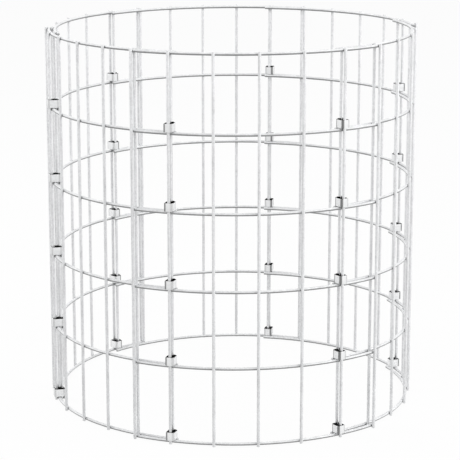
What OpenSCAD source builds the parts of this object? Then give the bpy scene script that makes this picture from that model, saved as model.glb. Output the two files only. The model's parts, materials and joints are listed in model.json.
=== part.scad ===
// Leaf composter bin: a round bin with no floor, made of six curved panels of welded wire mesh.
// Each panel overlaps the next by one cell, and folded sheet clips hold the overlapping uprights together.
// The bin stands on the XY plane around the Z axis, with its front facing -Y.

/* [Bin] */
// Overall height, which is the length of an upright
bin_h = 500; // [300:5:900]
// Diameter over the outer uprights where two panels overlap
bin_d = 498; // [350:1:900]

/* [Wire mesh] */
// Diameter of the wire
wire_d = 4; // [2.5:0.1:5]
// How deep crossing wires are pressed into each other where they are welded
weld_depth = 0.4; // [0.2:0.05:0.8]
// Width of the cells at the front and the right, as a share of the width of the others
wide_share = 1.13; // [0.9:0.01:1.3]
// How far an upright runs past the centre line of the end hoops
upright_overhang = 3; // [2.5:0.1:12]
// How far a hoop runs past the centre line of an end upright that lies outside the next panel
hoop_outer_overhang = 4; // [2.5:0.1:12]
// How far a hoop runs past the centre line of an end upright that lies inside the next panel
hoop_inner_overhang = 6; // [2.5:0.1:12]
// Clearance between the wires of two panels that lie in each other
nest_gap = 0.2; // [0.1:0.05:0.6]
// How far the closing overlap at the front right stands out past the other overlaps
closing_out = 2.5; // [0:0.1:4]

/* [Clips] */
// Thickness of the folded sheet
clip_t = 1; // [0.6:0.1:1.6]
// Height of a clip
clip_h = 10.5; // [6:0.1:30]
// Clear width inside a clip, along the bin's wall
clip_inner_w = 9; // [6.5:0.1:12]
// Outside radius of the folded corners
clip_corner_r = 1.7; // [1.7:0.1:3]
// Gap where the two ends of the folded sheet meet
clip_slit = 0.8; // [0.3:0.1:1.5]
// Clearance between a clip and the wires that it slides along or rests on
clip_play = 0.3; // [0.2:0.05:0.6]

/* [Hidden] */
galvanised = [0.80, 0.81, 0.82];
sheet_grey = [0.88, 0.89, 0.90];

// Facets of a wire's section and of a hoop's full turn
wire_facets = 24;
turn_facets = 240;
// How far a cut runs past what it cuts
overrun = 1;

// Counts: hoops on a panel, cells along a panel, and cells from one panel's start to the next one's
hoop_count = 6;
panel_cells = 6;
step_cells = 5;
panel_names = ["front", "front_right", "back_right", "back", "back_left", "front_left"];
upright_count = step_cells * len(panel_names);

// Uprights are numbered around the bin from the one right of the front's middle, towards +X.
// Counts from there: cells to the front panel's start, and wide cells before it and after it
front_start_cells = 3;
before_cells = 2;
after_cells = 6;
wide_cells = before_cells + after_cells;
// Angle of the front left overlap's clips, where the wide cells start, from the front towards +X
first_wide_angle = -18.9;
turn_angle = 360;
cell_angle = turn_angle / (upright_count - wide_cells + wide_cells * wide_share);
wide_angle = wide_share * cell_angle;
outer_r = bin_d / 2 - wire_d / 2;

// Radial distances: upright to hoop in one panel, and upright to upright where two panels overlap
crossing = wire_d - weld_depth;
nesting = crossing + wire_d + nest_gap;
hoop_pitch = (bin_h - 2 * upright_overhang) / (hoop_count - 1);

// How far a panel's end leans in over one cell, as a share of the distance between nested uprights
lean_share = 0.184;
lean = lean_share * nesting;

// A seam's clips hold the upright that ends its inner panel: name, inner panel, outer panel, upright
seams = [
    ["front_left", 5, 0, 28],
    ["front_right", 1, 0, 2],
    ["right", 1, 2, 8],
    ["back_right", 2, 3, 13],
    ["back_left", 3, 4, 18],
    ["left", 4, 5, 23]
];
clip_rows = hoop_count - 1;
clip_inner_l = nesting + wire_d + 2 * clip_play;
clip_w = clip_inner_w + 2 * clip_t;
clip_l = clip_inner_l + 2 * clip_t;

// Angle of an upright from the front towards +X
function upright_angle(i) = first_wide_angle + (
    i <= -before_cells ? (i + before_cells) * cell_angle :
    i <= after_cells ? (i + before_cells) * wide_angle :
    wide_cells * wide_angle + (i - after_cells) * cell_angle);

// Direction and place in plan at an angle from the front
function ray(a) = [sin(a), -cos(a)];

// Centre of the circle through three points
function circle_centre(p, q, s) =
    let (twice = 2 * (p.x * (q.y - s.y) + q.x * (s.y - p.y) + s.x * (p.y - q.y)))
    [((p * p) * (q.y - s.y) + (q * q) * (s.y - p.y) + (s * s) * (p.y - q.y)) / twice,
     ((p * p) * (s.x - q.x) + (q * q) * (p.x - s.x) + (s * s) * (q.x - p.x)) / twice];

// The upright that a panel starts at
function panel_start(panel) = panel * step_cells - front_start_cells;

// Three uprights that a panel's curve runs through, counted from its start, each with its radius.
// The front panel lies outside its neighbours at both ends, and the front right panel inside at both.
// The others start outside and lean in until they end inside the next panel.
inner_end = [[step_cells, outer_r - nesting], [panel_cells, outer_r - nesting - lean]];
function panel_through(panel) =
    panel == 0 ? [[0, outer_r], [1, outer_r - lean], [panel_cells, outer_r + closing_out]] :
    panel == 1 ? concat([[0, panel_r(0, upright_angle(panel_start(1))) - nesting]], inner_end) :
    concat([[0, outer_r]], inner_end);

// A panel's curve in plan: the places that it runs through, its centre and its radius
function panel_place(panel, through) =
    through[1] * ray(upright_angle(panel_start(panel) + through[0]));
function panel_places(panel) = [for (through = panel_through(panel)) panel_place(panel, through)];
function panel_centre(panel) =
    let (places = panel_places(panel))
    circle_centre(places[0], places[1], places[2]);
function panel_curve_r(panel) = norm(panel_places(panel)[0] - panel_centre(panel));

// Distance from the bin's axis to a panel's curve, along the ray at an angle
function panel_r(panel, a) =
    let (c = panel_centre(panel), along = c * ray(a))
    along + sqrt(along * along - c * c + pow(panel_curve_r(panel), 2));

// Angle of a place in plan around a panel's own centre, and angle of a length along an arc
function angle_around(c, p) = atan2(p.y - c.y, p.x - c.x);
function arc_angle(length, r) = turn_angle * length / (2 * PI * r);

// How far a panel's hoops run past its first and its last upright
function start_overhang(panel) = panel == 1 ? hoop_inner_overhang : hoop_outer_overhang;
function end_overhang(panel) = panel == 0 ? hoop_outer_overhang : hoop_inner_overhang;

module upright() {
    cylinder(d = wire_d, h = bin_h, $fn = wire_facets);
}

// A hoop wire bent to a radius, from the X axis through an angle
module hoop(r, sweep) {
    rotate_extrude(angle = sweep, $fn = turn_facets)
        translate([r, 0]) circle(d = wire_d, $fn = wire_facets);
}

module panel_uprights(panel) {
    color(galvanised)
    for (i = [panel_start(panel) : panel_start(panel) + panel_cells]) {
        a = upright_angle(i);
        translate(panel_r(panel, a) * ray(a)) upright();
    }
}

module panel_hoops(panel) {
    c = panel_centre(panel);
    r = panel_curve_r(panel) - crossing;
    start = angle_around(c, panel_places(panel)[0]);
    end = angle_around(c, panel_places(panel)[2]);
    before = arc_angle(start_overhang(panel), r);
    after = arc_angle(end_overhang(panel), r);
    color(galvanised)
    for (row = [0 : hoop_count - 1])
        translate([c.x, c.y, upright_overhang + row * hoop_pitch])
        rotate(start - before)
            hoop(r, (end - start + turn_angle) % turn_angle + before + after);
}

module rounded_plate(w, l, r) {
    square([w - 2 * r, l], center = true);
    square([w, l - 2 * r], center = true);
    for (x = [-1, 1], y = [-1, 1])
        translate([x * (w / 2 - r), y * (l / 2 - r)]) circle(r, $fn = wire_facets);
}

// A clip in plan: a sheet folded round two uprights, with its ends meeting beside the outer one
module clip_section() {
    difference() {
        rounded_plate(clip_w, clip_l, clip_corner_r);
        rounded_plate(clip_inner_w, clip_inner_l, clip_corner_r - clip_t);
        translate([clip_inner_w / 2 - overrun, clip_l / 2 - clip_corner_r - clip_slit])
            square([clip_t + 2 * overrun, clip_slit]);
    }
}

module clip(seam, row) {
    a = upright_angle(seam[3]);
    middle_r = (panel_r(seam[1], a) + panel_r(seam[2], a)) / 2;
    hoop_top = upright_overhang + (row - 1) * hoop_pitch + wire_d / 2;
    color(sheet_grey)
    translate(concat(middle_r * ray(a), hoop_top + clip_play))
    rotate(a + turn_angle / 2)
        linear_extrude(clip_h) clip_section();
}

for (panel = [0 : len(panel_names) - 1]) {
    panel_uprights(panel);
    panel_hoops(panel);
}
for (seam = seams, row = [1 : clip_rows])
    clip(seam, row);
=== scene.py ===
import json
import math

import bpy
import numpy as np
from mathutils import Matrix, Vector


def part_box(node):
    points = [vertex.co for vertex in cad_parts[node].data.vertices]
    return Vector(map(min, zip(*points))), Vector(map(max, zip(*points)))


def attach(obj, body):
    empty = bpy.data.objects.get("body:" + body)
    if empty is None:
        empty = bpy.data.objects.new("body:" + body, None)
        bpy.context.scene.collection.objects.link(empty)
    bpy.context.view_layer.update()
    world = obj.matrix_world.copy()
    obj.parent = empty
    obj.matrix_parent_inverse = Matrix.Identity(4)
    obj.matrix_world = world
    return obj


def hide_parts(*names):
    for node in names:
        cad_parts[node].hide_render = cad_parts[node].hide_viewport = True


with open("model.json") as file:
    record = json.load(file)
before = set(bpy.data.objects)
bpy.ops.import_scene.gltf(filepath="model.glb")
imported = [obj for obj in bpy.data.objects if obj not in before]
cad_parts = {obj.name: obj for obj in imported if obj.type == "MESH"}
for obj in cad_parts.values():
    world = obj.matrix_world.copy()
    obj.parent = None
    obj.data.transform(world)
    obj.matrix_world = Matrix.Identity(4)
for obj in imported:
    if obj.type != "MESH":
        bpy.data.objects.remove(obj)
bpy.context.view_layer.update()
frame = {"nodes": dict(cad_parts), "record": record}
bodies = frame["record"]["behaviour"]["bodies"]
nodeBody = {node: body for body, nodes in bodies.items() for node in nodes}
panelNames = sorted(node.removesuffix("_uprights") for node in nodeBody if node.endswith("_panel_uprights"))
clipNodes = sorted(node for node in nodeBody if "_seam_clip_" in node)
print("frame loaded:", len(panelNames), "panels and", len(clipNodes), "clips")


# Small helpers for modelling by hand

def deselect():
    bpy.ops.object.select_all(action="DESELECT")


def startEdit(mode):  # nothing selected, and edit mode off again
    bpy.ops.object.mode_set(mode="EDIT")
    bpy.ops.mesh.select_mode(type=mode)
    bpy.ops.mesh.select_all(action="DESELECT")
    bpy.ops.object.mode_set(mode="OBJECT")


def pickFaces(obj, test):  # leaves edit mode on, with the faces that pass the test selected
    startEdit("FACE")
    for face in obj.data.polygons:
        face.select = test(face)
    bpy.ops.object.mode_set(mode="EDIT")


def pickEdges(obj, test):  # the same for edges, where the test gets an edge's two ends
    startEdit("EDGE")
    verts = obj.data.vertices
    for edge in obj.data.edges:
        edge.select = test(verts[edge.vertices[0]].co, verts[edge.vertices[1]].co)
    bpy.ops.object.mode_set(mode="EDIT")


def pickAll():
    bpy.ops.object.mode_set(mode="EDIT")
    bpy.ops.mesh.select_all(action="SELECT")


def leaveEdit():
    bpy.ops.object.mode_set(mode="OBJECT")


def outwards(mergeBelow=1e-6):  # in edit mode
    bpy.ops.mesh.select_all(action="SELECT")
    bpy.ops.mesh.remove_doubles(threshold=mergeBelow)
    bpy.ops.mesh.normals_make_consistent(inside=False)


def smoothUpTo(degrees):
    bpy.ops.object.shade_smooth_by_angle(angle=math.radians(degrees))


def applyAll(obj):
    for modifier in list(obj.modifiers):
        bpy.ops.object.modifier_apply(modifier=modifier.name)


def copyTo(obj, matrix):
    copy = obj.copy()
    copy.data = obj.data.copy()
    copy.data.transform(matrix)
    bpy.context.scene.collection.objects.link(copy)
    return copy


def joinAs(name, copies):
    deselect()
    for copy in copies:
        copy.select_set(True)
    bpy.context.view_layer.objects.active = copies[0]
    bpy.ops.object.join()
    piece = bpy.context.object
    piece.name = name
    piece.data.name = name
    return piece


def drop(obj):
    bpy.data.objects.remove(obj)


def finishPiece(piece, node, replaced=True):
    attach(piece, nodeBody[node])
    if replaced:
        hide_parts(node)


# Places of the wires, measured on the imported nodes

def nodePoints(node, digits=6):  # a node's different points, to a micrometre
    verts = frame["nodes"][node].data.vertices
    return np.array(sorted({tuple(round(c, digits) for c in vert.co) for vert in verts}))


def uprightPlaces(node, apart=0.01):  # centre of each upright in plan
    left = nodePoints(node)[:, :2]
    places = []
    while len(left):
        near = np.hypot(*(left - left[0]).T) < apart
        places.append(left[near].mean(0))
        left = left[~near]
    return places


def hoopPlaces(node, apart=0.01):  # circle, ends and heights of a panel's hoops
    points = nodePoints(node)
    plan = points[:, :2]
    fit = np.linalg.lstsq(np.c_[2 * plan, np.ones(len(plan))], (plan ** 2).sum(1), rcond=None)[0]
    arm = plan - fit[:2]
    middle = math.atan2(*arm.mean(0)[::-1])
    turn = (np.arctan2(arm[:, 1], arm[:, 0]) - middle + math.pi) % (2 * math.pi) - math.pi
    levels = np.sort(points[:, 2])
    heights = np.split(levels, np.where(np.diff(levels) > apart)[0] + 1)
    return {
        "centre": fit[:2], "radius": np.hypot(*arm.T).mean(),
        "start": middle + turn.min(), "sweep": turn.max() - turn.min(),
        "heights": [h.mean() for h in heights], "wire": heights[0][-1] - heights[0][0]}


panels = {name: hoopPlaces(name + "_hoops") for name in panelNames}
for name in panelNames:
    panels[name]["uprights"] = uprightPlaces(name + "_uprights")
wireD = round(panels[panelNames[0]]["wire"], 4)  # to a tenth of a millimetre
wireLow, wireHigh = (corner.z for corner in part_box(panelNames[0] + "_uprights"))
print("wires found: diameter", wireD, "uprights", sum(len(p["uprights"]) for p in panels.values()))


# Materials, all on Object coordinates

white = (1, 1, 1)


def grey(value):
    return (value,) * 3


def newMaterial(name):
    material = bpy.data.materials.new(name)
    material.use_nodes = True
    tree = material.node_tree
    return material, tree, tree.nodes["Principled BSDF"]


def addNode(tree, kind, **inputs):
    node = tree.nodes.new(kind)
    for name, value in inputs.items():
        node.inputs[name].default_value = value
    return node


def ramp(tree, source, stops):
    node = tree.nodes.new("ShaderNodeValToRGB")
    elements = node.color_ramp.elements
    while len(elements) < len(stops):
        elements.new(0.5)
    for element, (place, colour) in zip(elements, stops):
        element.position = place
        element.color = (*colour, 1)
    tree.links.new(source, node.inputs["Fac"])
    return node.outputs["Color"]


def spread(tree, source, low, high):  # a 0 to 1 value brought to a range
    node = addNode(tree, "ShaderNodeMapRange", **{"To Min": low, "To Max": high})
    tree.links.new(source, node.inputs["Value"])
    return node.outputs["Result"]


def mixColour(tree, factor, a, b, how="MIX"):
    node = tree.nodes.new("ShaderNodeMix")
    node.data_type = "RGBA"
    node.blend_type = how
    for name, value in (("Factor", factor), ("A", a), ("B", b)):
        socket = next(s for s in node.inputs if s.name == name and s.enabled)
        if isinstance(value, bpy.types.NodeSocket):
            tree.links.new(value, socket)
        else:
            socket.default_value = value
    return next(s for s in node.outputs if s.enabled)


def darken(tree, tone, shade):
    return mixColour(tree, 1.0, tone, shade, "MULTIPLY")


zincSkin = {  # what all the zinc finishes share
    "patchDetail": 4.0, "patchRoughness": 0.6, "patchStops": (0.45, 0.75),
    "grainDetail": 3.0, "grainDepth": 0.0001, "lineDetail": 2.0, "lineStops": (0.32, 0.58)}


def zinc(name, look):  # a galvanised surface: crystals, dull patches and grain, and what else the look asks for
    material, tree, shader = newMaterial(name)
    coords = tree.nodes.new("ShaderNodeTexCoord")
    crystals = addNode(tree, "ShaderNodeTexVoronoi", Scale=look["crystals"])
    patches = addNode(
        tree, "ShaderNodeTexNoise", Scale=look["patches"],
        Detail=zincSkin["patchDetail"], Roughness=zincSkin["patchRoughness"])
    grain = addNode(tree, "ShaderNodeTexNoise", Scale=look["grain"], Detail=zincSkin["grainDetail"])
    for texture in (crystals, patches, grain):
        tree.links.new(coords.outputs["Object"], texture.inputs["Vector"])
    crystal = tree.nodes.new("ShaderNodeSeparateColor")  # two values that differ from crystal to crystal
    tree.links.new(crystals.outputs["Color"], crystal.inputs["Color"])
    tone = ramp(tree, crystal.outputs["Red"], [(0.0, look["dark"]), (1.0, look["light"])])
    dulled = zip(zincSkin["patchStops"], (white, grey(look["dulling"])))
    tone = darken(tree, tone, ramp(tree, patches.outputs["Fac"], list(dulled)))
    height = grain.outputs["Fac"]
    if "drawn" in look:  # faint lines along the wire, left by the die it was drawn through
        stretch = addNode(tree, "ShaderNodeMapping", Scale=look["drawn"])
        lines = addNode(tree, "ShaderNodeTexNoise", Scale=1.0, Detail=zincSkin["lineDetail"])
        tree.links.new(coords.outputs["Object"], stretch.inputs["Vector"])
        tree.links.new(stretch.outputs["Vector"], lines.inputs["Vector"])
        lined = zip(zincSkin["lineStops"], (grey(look["lines"]), white))
        tone = darken(tree, tone, ramp(tree, lines.outputs["Fac"], list(lined)))
        both = tree.nodes.new("ShaderNodeMath")
        tree.links.new(height, both.inputs[0])
        tree.links.new(lines.outputs["Fac"], both.inputs[1])
        height = both.outputs[0]
    if "undersideShade" in look:  # painted shade on the undersides: tints by how far the surface faces up, from 0 to 1
        split = tree.nodes.new("ShaderNodeSeparateXYZ")
        tree.links.new(coords.outputs["Normal"], split.inputs[0])
        up = addNode(tree, "ShaderNodeMapRange", **{"From Min": -1.0, "From Max": 1.0})
        tree.links.new(split.outputs["Z"], up.inputs["Value"])
        under = [(place, grey(tint)) for place, tint in look["undersideShade"]]
        tone = darken(tree, tone, ramp(tree, up.outputs["Result"], under))
    if "foldShade" in look:  # painted shade along the folds, by the sheet's own fold marks
        mark = tree.nodes.new("ShaderNodeAttribute")
        mark.attribute_name = "fold"
        tone = darken(tree, tone, mixColour(tree, mark.outputs["Fac"], (*white, 1), (*grey(look["foldShade"]), 1)))
    tree.links.new(tone, shader.inputs["Base Color"])
    tree.links.new(spread(tree, crystal.outputs["Green"], *look["roughness"]), shader.inputs["Roughness"])
    shader.inputs["Metallic"].default_value = look["metal"]
    shader.inputs["Specular IOR Level"].default_value = look["shine"]
    bump = addNode(tree, "ShaderNodeBump", Strength=look["bump"], Distance=zincSkin["grainDepth"])
    tree.links.new(height, bump.inputs["Height"])
    tree.links.new(bump.outputs["Normal"], shader.inputs["Normal"])
    return material


wireLook = {
    "crystals": 520.0, "patches": 60.0, "grain": 1800.0, "dulling": 0.88, "bump": 0.14, "lines": 0.86,
    "dark": (0.82, 0.826, 0.835), "light": (0.92, 0.926, 0.935), "roughness": (0.30, 0.46),
    "metal": 0.55, "shine": 0.4}
uprightZinc = zinc("galvanised_upright", {**wireLook, "drawn": (800.0, 800.0, 18.0)})
# the hoops get painted shade on their undersides, darker the more a surface faces down
hoopZinc = zinc("galvanised_hoop", {
    **wireLook, "drawn": (18.0, 18.0, 800.0), "undersideShade": [(0.30, 0.36), (0.48, 0.50), (0.64, 1.0)]})
# the weld's dark colour is partly the weld's own and partly painted contact shade where upright and hoop meet
weldZincAndShade = zinc("weld_zinc_and_contact_shade", {
    "crystals": 700.0, "patches": 160.0, "grain": 2500.0, "dulling": 0.70, "bump": 0.5,
    "dark": (0.16, 0.16, 0.165), "light": (0.28, 0.28, 0.285), "roughness": (0.50, 0.65),
    "metal": 0.10, "shine": 0.3})
# the clip's folds get painted shade, darkest beside the slit and on the left, lighter on the right
clipZinc = zinc("clip_sheet", {
    "crystals": 380.0, "patches": 90.0, "grain": 1800.0, "dulling": 0.95, "bump": 0.15,
    "dark": (0.87, 0.875, 0.88), "light": (0.92, 0.925, 0.93), "roughness": (0.36, 0.46),
    "metal": 0.75, "shine": 0.4, "foldShade": 0.18})
# black painted shade for a clip's hollow inside, its rim behind the outer upright and the blocks in its mouth
clipShadeBlack = zinc("clip_inside_painted_shade", {
    "crystals": 300.0, "patches": 120.0, "grain": 1500.0, "dulling": 0.6, "bump": 0.2,
    "dark": (0.003, 0.003, 0.003), "light": (0.006, 0.006, 0.006), "roughness": (0.80, 0.95),
    "metal": 0.0, "shine": 0.05})
print("materials made")

# Uprights: one cut wire is modelled and stood at every place

upright = {
    "sides": 24, "cutBevel": 0.00045, "cutSteps": 2, "pinch": 0.88, "smoothAngle": 40,
    "endNormal": 0.9, "capNormal": 0.99}  # how squarely an end faces, and the cap that is left after its bevel


def modelUpright():
    deselect()
    bpy.ops.mesh.primitive_cylinder_add(
        vertices=upright["sides"], radius=wireD / 2, depth=wireHigh - wireLow,
        location=(0, 0, (wireLow + wireHigh) / 2))
    wire = bpy.context.object
    bpy.ops.object.transform_apply(location=True)
    pickFaces(wire, lambda face: abs(face.normal.z) > upright["endNormal"])
    bpy.ops.mesh.bevel(offset=upright["cutBevel"], segments=upright["cutSteps"], affect="EDGES")
    leaveEdit()
    pickFaces(wire, lambda face: abs(face.normal.z) > upright["capNormal"])
    bpy.ops.transform.resize(value=(upright["pinch"], 1, 1))  # the shear squeezes a wire's end
    leaveEdit()
    smoothUpTo(upright["smoothAngle"])
    wire.data.materials.append(uprightZinc)
    return wire


wire = modelUpright()
for name, panel in panels.items():
    copies = []
    for x, y in panel["uprights"]:
        facing = Matrix.Rotation(math.atan2(y, x), 4, "Z")
        copies.append(copyTo(wire, Matrix.Translation((x, y, 0)) @ facing))
    finishPiece(joinAs(name + "_upright_wires", copies), name + "_uprights")
drop(wire)
print("uprights stood")

# Hoops: a disc of wire is spun round the panel's own centre, once for each panel

hoop = {"sides": 24, "stepAngle": 2.5, "cutBevel": 0.00045, "cutSteps": 2, "smoothAngle": 40}


def modelHoop(panel):
    cx, cy = panel["centre"]
    start, sweep = panel["start"], panel["sweep"]
    deselect()
    bpy.ops.mesh.primitive_circle_add(
        vertices=hoop["sides"], radius=wireD / 2, fill_type="NGON", rotation=(math.pi / 2, 0, start),
        location=(cx + panel["radius"] * math.cos(start), cy + panel["radius"] * math.sin(start), 0))
    wire = bpy.context.object
    bpy.ops.object.transform_apply(location=True, rotation=True)
    pickAll()
    steps = round(math.degrees(sweep) / hoop["stepAngle"])
    bpy.ops.mesh.spin(steps=steps, angle=-sweep, center=(cx, cy, 0), axis=(0, 0, 1))  # turns clockwise
    outwards()
    leaveEdit()
    pickFaces(wire, lambda face: len(face.vertices) == hoop["sides"])
    bpy.ops.mesh.bevel(offset=hoop["cutBevel"], segments=hoop["cutSteps"], affect="EDGES")
    leaveEdit()
    smoothUpTo(hoop["smoothAngle"])
    wire.data.materials.append(hoopZinc)
    return wire


for name, panel in panels.items():
    wire = modelHoop(panel)
    copies = [copyTo(wire, Matrix.Translation((0, 0, z))) for z in panel["heights"]]
    finishPiece(joinAs(name + "_hoop_wires", copies), name + "_hoops")
    drop(wire)
print("hoops spun")

# Welds: a small squeezed bead where an upright meets a hoop, dark partly as a weld and partly with painted
# contact shade

weld = {"segments": 10, "rings": 6, "reach": 0.0021, "thick": 0.0014}


def modelWeld():
    deselect()
    bpy.ops.mesh.primitive_uv_sphere_add(
        segments=weld["segments"], ring_count=weld["rings"], radius=weld["reach"], rotation=(0, math.pi / 2, 0))
    bead = bpy.context.object
    bpy.ops.object.transform_apply(rotation=True)
    pickAll()
    bpy.ops.transform.resize(value=(weld["thick"] / weld["reach"], 1, 1))
    leaveEdit()
    bpy.ops.object.shade_smooth()
    bead.data.materials.append(weldZincAndShade)
    return bead


bead = modelWeld()
for name, panel in panels.items():
    copies = []
    centre = Vector(panel["centre"])
    for place in panel["uprights"]:
        arm = Vector(place) - centre
        seat = centre + arm.normalized() * (arm.length + panel["radius"]) / 2
        facing = Matrix.Rotation(math.atan2(arm.y, arm.x), 4, "Z")
        copies += [copyTo(bead, Matrix.Translation((*seat, z)) @ facing) for z in panel["heights"]]
    finishPiece(joinAs(name + "_welds", copies), name + "_hoops", replaced=False)
drop(bead)
print("welds set")

# Clips: a sheet folded round two uprights, its ends meeting beside the outer one.
# A clip is modelled with its outer side at +y, and its left one, seen from outside, at +x.

clip = {
    "sheet": 0.001, "foldRadius": 0.0017, "foldSteps": 6,
    "slit": 0.0007992,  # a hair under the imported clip's 0.8 mm
    "edgeBevel": 0.00015, "edgeSteps": 2, "edgeAngle": 50, "smoothAngle": 35,
    "foldBand": 0.0014,  # how far a fold's painted shade reaches onto the flat sheet
    "foldShadeBySide": {"slit": 0.9, "left": 0.85, "right": 0.3},  # how dark the painted shade at each fold is
    "foldShadeShare": {"right": 0.25},  # and the share of that painted shade on the right seam, whose clips are brighter
    "innerFrom": 0.0009, "rimFrom": 0.001,  # depth where the walls get black painted shade, and how far forward the rim does
    "darkDrop": 0.0001, "darkRoom": 0.00012, "darkSteps": 4, "holeSides": 24, "holeReach": 4,
    "proud": 0.0011, "proudLength": 0.0031, "proudBack": 0.00345}  # the black bar of painted shade at the rear that stands proud


def clipPlace(node, rounds=3):  # centre, direction and size of a packed clip
    points = nodePoints(node)
    centre = points.mean(0)
    for _ in range(rounds):
        angle = math.atan2(centre[1], centre[0]) + math.pi / 2
        along = np.array([[math.cos(angle), math.sin(angle)], [-math.sin(angle), math.cos(angle)]])
        local = points[:, :2] @ along.T
        middle = (local.min(0) + local.max(0)) / 2
        centre = np.array([*(middle @ along), points[:, 2].min()])
    size = (*np.ptp(local, axis=0), np.ptp(points[:, 2]))
    return Vector(centre), angle + math.pi, size


def modelClip(size, near=1e-5):
    width, length, height = size
    sheet, fold, band = clip["sheet"], clip["foldRadius"], clip["foldBand"]
    x, y = width / 2 - fold, length / 2 - fold  # centres of the folds
    front = length / 2 - sheet / 2  # middle of the sheet in the outer wall
    deselect()
    bpy.ops.mesh.primitive_plane_add(size=1, location=(0, front, height / 2), rotation=(math.pi / 2, 0, 0))
    piece = bpy.context.object
    piece.scale = (2 * (x - band), height, 1)
    bpy.ops.object.transform_apply(location=True, rotation=True, scale=True)

    def pickEnd(px, py):  # the sheet's free end at a place in plan
        pickEdges(piece, lambda a, b: all(abs(p.x - px) < near and abs(p.y - py) < near for p in (a, b)))

    def foldRound(cx, cy, quarter):
        bpy.ops.mesh.spin(
            steps=clip["foldSteps"], angle=-quarter, center=(cx, cy, 0), axis=(0, 0, 1))

    def runOn(dx, dy):
        bpy.ops.mesh.extrude_region_move(TRANSFORM_OT_translate={"value": (dx, dy, 0)})

    def flatWall(dx, dy, short=0):  # from fold to fold, with a marked band at each; the last wall ends short
        run = Vector((dx, dy))
        mark = run.normalized() * band
        for step in (mark, run - 2 * mark, mark * (1 - short / band)):
            runOn(*step)

    pickEnd(x - band, front)
    runOn(band, 0)
    foldRound(x, y, -math.pi / 2)
    leaveEdit()
    pickEnd(band - x, front)
    runOn(-band, 0)
    foldRound(-x, y, math.pi / 2)
    flatWall(0, -2 * y)
    foldRound(-x, -y, math.pi / 2)
    flatWall(2 * x, 0)
    foldRound(x, -y, math.pi / 2)
    flatWall(0, 2 * y, clip["slit"])
    outwards()
    leaveEdit()
    wall = piece.modifiers.new("wall", "SOLIDIFY")
    wall.thickness = sheet
    wall.offset = 0
    edges = piece.modifiers.new("edges", "BEVEL")
    edges.width = clip["edgeBevel"]
    edges.segments = clip["edgeSteps"]
    edges.limit_method = "ANGLE"
    edges.angle_limit = math.radians(clip["edgeAngle"])
    applyAll(piece)
    smoothUpTo(clip["smoothAngle"])
    piece.data.materials.append(clipZinc)
    piece.data.materials.append(clipShadeBlack)
    for face in piece.data.polygons:  # painted shade: the inner walls are black, and so is the rim behind the outer upright
        spot = face.center
        inside = max(abs(spot.x) - width / 2, abs(spot.y) - length / 2) < -clip["innerFrom"]
        rim = spot.z > height - clip["edgeBevel"] and spot.y < clip["rimFrom"]
        face.material_index = int(inside or rim)
    marks = piece.data.attributes.new("fold", "FLOAT", "POINT")  # how much painted shade the sheet gets near its folds, 0 where it is flat
    for vert, mark in zip(piece.data.vertices, marks.data):
        past = min(abs(vert.co.x) - x, abs(vert.co.y) - y)
        corner = "right" if vert.co.x < 0 else "slit" if vert.co.y > 0 else "left"
        mark.value = clip["foldShadeBySide"][corner] * min(1, max(0, 1 + past / band))
    return piece


def shadeBlock(size, middle, low, high, apart):  # a black block of painted shade with a hole for each upright
    deselect()
    bpy.ops.mesh.primitive_cube_add(size=1, location=(0, middle, (low + high) / 2))
    block = bpy.context.object
    block.scale = (*size, high - low)
    bpy.ops.object.transform_apply(location=True, scale=True)
    pickEdges(block, lambda a, b: abs(a.z - b.z) > (high - low) / 2)
    bpy.ops.mesh.bevel(offset=clip["foldRadius"] - clip["sheet"], segments=clip["darkSteps"], affect="EDGES")
    leaveEdit()
    for side in (-1, 1):
        deselect()
        bpy.ops.mesh.primitive_cylinder_add(
            vertices=clip["holeSides"], radius=wireD / 2 + clip["darkRoom"], depth=clip["holeReach"] * high,
            location=(0, side * apart / 2, 0))
        cutter = bpy.context.object
        deselect()
        block.select_set(True)
        bpy.context.view_layer.objects.active = block
        hole = block.modifiers.new("hole", "BOOLEAN")
        hole.object = cutter
        applyAll(block)
        drop(cutter)
    block.data.materials.clear()
    block.data.materials.append(clipShadeBlack)
    return block


def modelMouthShade(size, apart):  # painted shade filling a clip's mouth, black where there is only shade inside; what stands proud clears the hoop above
    width, length, height = size
    room = 2 * clip["sheet"] + clip["darkRoom"] / 2
    low, rim = clip["darkDrop"], height - clip["darkDrop"]
    return [
        shadeBlock((width - room, length - room), 0, low, rim, apart),
        shadeBlock((width - room, clip["proudLength"]), -clip["proudBack"], low, height + clip["proud"], apart)]


allUprights = [Vector(place) for panel in panels.values() for place in panel["uprights"]]
firstCentre, _, clipSize = clipPlace(clipNodes[0])
held = sorted(allUprights, key=lambda place: (place - firstCentre.xy).length)[:2]  # the two in the first clip
# black blocks of painted shade for the clip's mouth
dark = modelMouthShade(clipSize, (held[0] - held[1]).length)
foldedClip = joinAs("folded_clip", [modelClip(clipSize), *dark])
for node in clipNodes:
    centre, angle, _ = clipPlace(node)
    piece = copyTo(foldedClip, Matrix.Translation(centre) @ Matrix.Rotation(angle, 4, "Z"))
    piece.name = node.replace("_clip_", "_folded_clip_")
    piece.data.name = piece.name
    # the right seam's clips get less painted fold shade
    share = clip["foldShadeShare"].get(node.split("_seam_")[0], 1.0)
    for mark in piece.data.attributes["fold"].data:
        mark.value *= share
    finishPiece(piece, node)
drop(foldedClip)
print("clips folded, size", [round(s, 5) for s in clipSize])

# Stage: a pale floor and a white world for what the camera and the metal see

stage = {
    "floor": 60.0, "floorDrop": 0.0002, "floorColour": (0.30, 0.30, 0.30, 1),
    "floorShade": (0.032, 0.032, 0.032, 1), "floorGlow": 0.952, "worldLight": 0.48}


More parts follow.
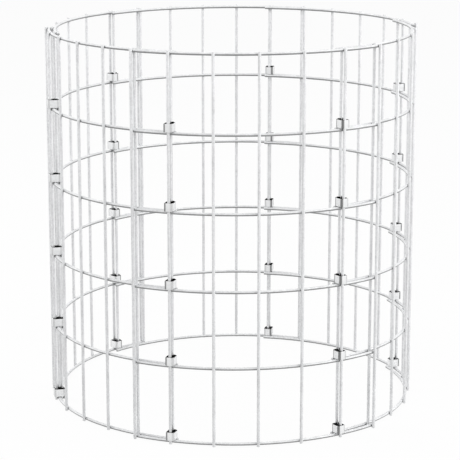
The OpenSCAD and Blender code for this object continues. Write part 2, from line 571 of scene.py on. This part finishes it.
def seenDirectly(tree):  # 1 for camera, glossy and transmission rays
    path = tree.nodes.new("ShaderNodeLightPath")
    seen = path.outputs["Is Camera Ray"]
    for name in ("Is Glossy Ray", "Is Transmission Ray"):
        node = tree.nodes.new("ShaderNodeMath")
        node.operation = "MAXIMUM"
        tree.links.new(seen, node.inputs[0])
        tree.links.new(path.outputs[name], node.inputs[1])
        seen = node.outputs[0]
    return seen


def showByRay(tree, lit, seen, output):  # one shader lights the object, and the other is what is seen
    mix = tree.nodes.new("ShaderNodeMixShader")
    tree.links.new(seenDirectly(tree), mix.inputs["Fac"])
    tree.links.new(lit.outputs[0], mix.inputs[1])
    tree.links.new(seen.outputs[0], mix.inputs[2])
    tree.links.new(mix.outputs[0], tree.nodes[output].inputs["Surface"])


def makeFloor():
    deselect()
    bpy.ops.mesh.primitive_plane_add(size=stage["floor"], location=(0, 0, -stage["floorDrop"]))
    floor = bpy.context.object
    floor.name = "floor"
    material, tree, shader = newMaterial("pale_floor")
    tree.nodes.remove(shader)
    light = addNode(tree, "ShaderNodeBsdfDiffuse", Color=stage["floorColour"])
    soft = addNode(tree, "ShaderNodeBsdfDiffuse", Color=stage["floorShade"])  # keeps the bin's shadow
    glow = addNode(tree, "ShaderNodeEmission", Strength=stage["floorGlow"])
    seen = tree.nodes.new("ShaderNodeAddShader")
    tree.links.new(glow.outputs[0], seen.inputs[0])
    tree.links.new(soft.outputs[0], seen.inputs[1])
    showByRay(tree, light, seen, "Material Output")
    floor.data.materials.append(material)


def makeWorld():
    world = bpy.data.worlds.new("white_room")
    bpy.context.scene.world = world
    world.use_nodes = True
    tree = world.node_tree
    dim = tree.nodes["Background"]
    dim.inputs["Color"].default_value = (*white, 1)
    dim.inputs["Strength"].default_value = stage["worldLight"]
    bright = addNode(tree, "ShaderNodeBackground", Color=(*white, 1), Strength=1.0)
    showByRay(tree, dim, bright, "World Output")


lamps = {
    "right": {"place": (2.46, -1.1, 1.56), "size": 2.4, "power": 90.0},
    "left": {"place": (-2.41, 0.3, 2.01), "size": 2.4, "power": 80.0}}
lampAim = Vector((0, 0, 0.25))


def makeLamp(name, lamp):
    data = bpy.data.lights.new(name, "AREA")
    data.size = lamp["size"]
    data.energy = lamp["power"]
    obj = bpy.data.objects.new(name, data)
    bpy.context.scene.collection.objects.link(obj)
    obj.location = lamp["place"]
    obj.rotation_euler = (lampAim - Vector(lamp["place"])).to_track_quat("-Z", "Y").to_euler()
    obj.visible_glossy = False  # the metal mirrors the white room alone, so a wire has one tone from end to end


makeFloor()
makeWorld()
for name, lamp in lamps.items():
    makeLamp(name, lamp)
print("stage lit")

# Camera at the photograph's view

view = {
    "aside": -0.0064, "away": 2.5097, "height": 0.8222,
    "lookDown": 13.436, "turn": 0.049, "lens": 148.91, "sensor": 36.0}
cameraData = bpy.data.cameras.new("camera")
cameraData.lens = view["lens"]
cameraData.sensor_width = view["sensor"]
camera = bpy.data.objects.new("camera", cameraData)
bpy.context.scene.collection.objects.link(camera)
camera.location = (view["aside"], -view["away"], view["height"])
camera.rotation_euler = (math.radians(90 - view["lookDown"]), 0, -math.radians(view["turn"]))
bpy.context.scene.camera = camera
bpy.context.scene.view_settings.view_transform = "Standard"
print("camera set")
